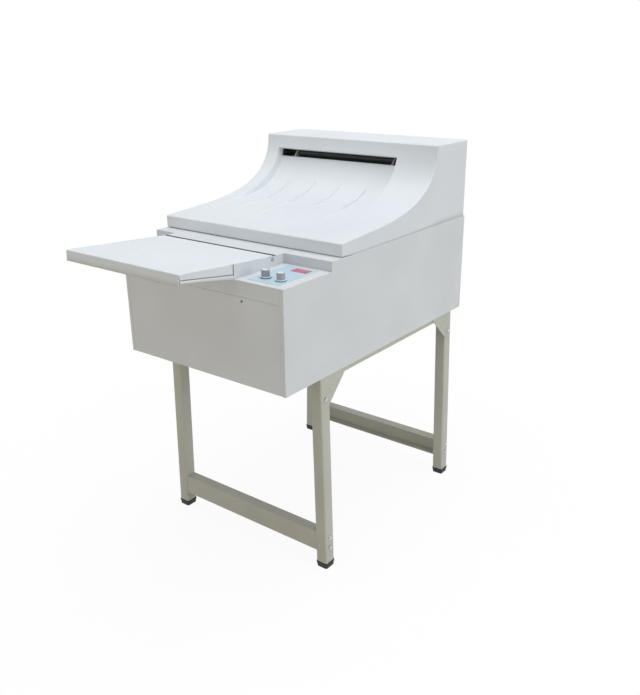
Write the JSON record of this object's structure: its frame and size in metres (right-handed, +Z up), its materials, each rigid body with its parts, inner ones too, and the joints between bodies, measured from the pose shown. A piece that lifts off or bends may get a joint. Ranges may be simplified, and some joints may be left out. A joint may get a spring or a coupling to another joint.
{
  "type": "x-ray film processor",
  "caption": "Floor-standing x-ray film processor on a four-legged stand, with a hinged feed lid, a control deck and a hinged hood whose curved channel receives the film.",
  "frame": {"origin": "on the floor, under the middle of the whole object's box", "axes": "+X to the right seen from the feed side, +Y from the feed tray to the rear, +Z up"},
  "size_m": [0.657, 1.102, 1.108],
  "materials": {
    "painted_panel": "light grey stove enamel, satin",
    "inner_sheet": "grey primer on sheet steel",
    "stand_paint": "warm grey powder coat, satin",
    "hood_moulding": "white moulding, soft gloss",
    "lid_shell": "white enamel, satin",
    "black_cap": "black moulded rubber",
    "bright_steel": "zinc plated steel",
    "overlay_film": "light blue printed film",
    "display_red": "red filter window",
    "knob_grey": "grey moulded knob",
    "circuit_board": "green circuit board",
    "tank_plastic": "grey welded plastic",
    "rack_plastic": "off-white plastic",
    "roller_rubber": "dark grey rubber sleeve",
    "belt_rubber": "black toothless belt",
    "pump_body": "blue-grey pump casing"
  },
  "bodies": {
    "cabinet": {"leg_front_left": "stand_paint", "leg_front_right": "stand_paint", "leg_rear_left": "stand_paint", "leg_rear_right": "stand_paint", "beam_front": "stand_paint", "beam_rear": "stand_paint", "side_rails": "stand_paint", "foot_caps": "black_cap", "power_inlet": "black_cap", "stand_bolts": "bright_steel", "panel_screws": "bright_steel", "lid_hinge_pins": "bright_steel", "hood_hinge_fixed": "bright_steel", "heater_rods": "bright_steel", "drive_motor": "bright_steel", "rear_fittings": "bright_steel", "base_pan": "inner_sheet", "rear_panel": "inner_sheet", "bay_partition": "inner_sheet", "blower_housing": "inner_sheet", "side_panel_right": "painted_panel", "side_panel_left": "painted_panel", "front_panel": "painted_panel", "control_housing": "painted_panel", "top_deck": "painted_panel", "drive_cover": "painted_panel", "feed_tray": "painted_panel", "control_overlay": "overlay_film", "display_window": "display_red", "control_board": "circuit_board", "developer_tank": "tank_plastic", "fixer_tank": "tank_plastic", "wash_tank": "tank_plastic", "developer_rack": "rack_plastic", "fixer_rack": "rack_plastic", "wash_rack": "rack_plastic", "dryer_frame": "rack_plastic", "drive_belt": "belt_rubber", "exit_belt": "belt_rubber", "circulation_pumps": "pump_body"},
    "hood": {"hood": "hood_moulding", "hood_hinge_moving": "bright_steel"},
    "feed_lid": {"feed_lid": "lid_shell"},
    "time_knob": {"time_knob": "knob_grey"},
    "temperature_knob": {"temperature_knob": "knob_grey"},
    "blower_wheel": {"blower_wheel": "bright_steel"},
    "motor_pulley": {"motor_pulley": "roller_rubber"},
    "developer_drive_roller": {"developer_drive_roller": "roller_rubber"},
    "developer_pressure_roller": {"developer_pressure_roller": "roller_rubber"},
    "developer_turn_roller": {"developer_turn_roller": "roller_rubber"},
    "fixer_drive_roller": {"fixer_drive_roller": "roller_rubber"},
    "fixer_pressure_roller": {"fixer_pressure_roller": "roller_rubber"},
    "fixer_turn_roller": {"fixer_turn_roller": "roller_rubber"},
    "wash_drive_roller": {"wash_drive_roller": "roller_rubber"},
    "wash_pressure_roller": {"wash_pressure_roller": "roller_rubber"},
    "wash_turn_roller": {"wash_turn_roller": "roller_rubber"},
    "entrance_drive_roller": {"entrance_drive_roller": "roller_rubber"},
    "entrance_pressure_roller": {"entrance_pressure_roller": "roller_rubber"},
    "exit_drive_roller": {"exit_drive_roller": "roller_rubber"},
    "exit_pressure_roller": {"exit_pressure_roller": "roller_rubber"}
  },
  "joints": [
    {"name": "hood_swing", "type": "hinge", "parent": "cabinet", "child": "hood", "pos_m": [-0.0085, 0.525, 0.878], "axis": [-1, 0, 0], "range_deg": [0, 80]},
    {"name": "lid_swing", "type": "hinge", "parent": "cabinet", "child": "feed_lid", "pos_m": [-0.0085, -0.2285, 0.871], "axis": [-1, 0, 0], "range_deg": [0, 80]},
    {"name": "time_turn", "type": "hinge", "parent": "cabinet", "child": "time_knob", "pos_m": [0.2125, -0.317, 0.852], "axis": [0, 0, -1], "range_deg": [-135, 135]},
    {"name": "temperature_turn", "type": "hinge", "parent": "cabinet", "child": "temperature_knob", "pos_m": [0.2605, -0.317, 0.852], "axis": [0, 0, -1], "range_deg": [-135, 135]},
    {"name": "blower_spin", "type": "hinge", "parent": "cabinet", "child": "blower_wheel", "pos_m": [-0.0085, 0.382, 0.6735], "axis": [1, 0, 0], "continuous": true},
    {"name": "developer_drive_spin", "type": "hinge", "parent": "cabinet", "child": "developer_drive_roller", "pos_m": [-0.0085, -0.066, 0.856], "axis": [1, 0, 0], "continuous": true},
    {"name": "developer_pressure_spin", "type": "hinge", "parent": "cabinet", "child": "developer_pressure_roller", "pos_m": [-0.0085, -0.0919, 0.855], "axis": [1, 0, 0], "continuous": true},
    {"name": "developer_turn_spin", "type": "hinge", "parent": "cabinet", "child": "developer_turn_roller", "pos_m": [-0.0085, -0.066, 0.6225], "axis": [1, 0, 0], "continuous": true},
    {"name": "fixer_drive_spin", "type": "hinge", "parent": "cabinet", "child": "fixer_drive_roller", "pos_m": [-0.0085, 0.072, 0.856], "axis": [1, 0, 0], "continuous": true},
    {"name": "fixer_pressure_spin", "type": "hinge", "parent": "cabinet", "child": "fixer_pressure_roller", "pos_m": [-0.0085, 0.0461, 0.855], "axis": [1, 0, 0], "continuous": true},
    {"name": "fixer_turn_spin", "type": "hinge", "parent": "cabinet", "child": "fixer_turn_roller", "pos_m": [-0.0085, 0.072, 0.6225], "axis": [1, 0, 0], "continuous": true},
    {"name": "wash_drive_spin", "type": "hinge", "parent": "cabinet", "child": "wash_drive_roller", "pos_m": [-0.0085, 0.195, 0.856], "axis": [1, 0, 0], "continuous": true},
    {"name": "wash_pressure_spin", "type": "hinge", "parent": "cabinet", "child": "wash_pressure_roller", "pos_m": [-0.0085, 0.1691, 0.855], "axis": [1, 0, 0], "continuous": true},
    {"name": "wash_turn_spin", "type": "hinge", "parent": "cabinet", "child": "wash_turn_roller", "pos_m": [-0.0085, 0.195, 0.6225], "axis": [1, 0, 0], "continuous": true},
    {"name": "entrance_drive_spin", "type": "hinge", "parent": "cabinet", "child": "entrance_drive_roller", "pos_m": [-0.0085, -0.157, 0.8637], "axis": [1, 0, 0], "continuous": true},
    {"name": "entrance_pressure_spin", "type": "hinge", "parent": "cabinet", "child": "entrance_pressure_roller", "pos_m": [-0.0085, -0.157, 0.8453], "axis": [1, 0, 0], "continuous": true},
    {"name": "exit_drive_spin", "type": "hinge", "parent": "cabinet", "child": "exit_drive_roller", "pos_m": [-0.0085, 0.375, 1.0308], "axis": [1, 0, 0], "continuous": true},
    {"name": "exit_pressure_spin", "type": "hinge", "parent": "cabinet", "child": "exit_pressure_roller", "pos_m": [-0.0085, 0.375, 1.0492], "axis": [1, 0, 0], "continuous": true},
    {"name": "motor_spin", "type": "hinge", "parent": "cabinet", "child": "motor_pulley", "pos_m": [-0.0085, 0.072, 0.6985], "axis": [1, 0, 0], "continuous": true}
  ],
  "couplings": [
    {"joint": "developer_pressure_spin", "follows": "developer_drive_spin", "ratio": -2},
    {"joint": "developer_turn_spin", "follows": "developer_drive_spin", "ratio": 0.68},
    {"joint": "fixer_drive_spin", "follows": "developer_drive_spin", "ratio": 1},
    {"joint": "fixer_pressure_spin", "follows": "developer_drive_spin", "ratio": -2},
    {"joint": "fixer_turn_spin", "follows": "developer_drive_spin", "ratio": 0.68},
    {"joint": "wash_drive_spin", "follows": "developer_drive_spin", "ratio": 1},
    {"joint": "wash_pressure_spin", "follows": "developer_drive_spin", "ratio": -2},
    {"joint": "wash_turn_spin", "follows": "developer_drive_spin", "ratio": 0.68},
    {"joint": "entrance_drive_spin", "follows": "developer_drive_spin", "ratio": 1.8889},
    {"joint": "entrance_pressure_spin", "follows": "developer_drive_spin", "ratio": -1.8889},
    {"joint": "exit_drive_spin", "follows": "developer_drive_spin", "ratio": 1.8889},
    {"joint": "exit_pressure_spin", "follows": "developer_drive_spin", "ratio": -1.8889},
    {"joint": "motor_spin", "follows": "developer_drive_spin", "ratio": 1}
  ]
}
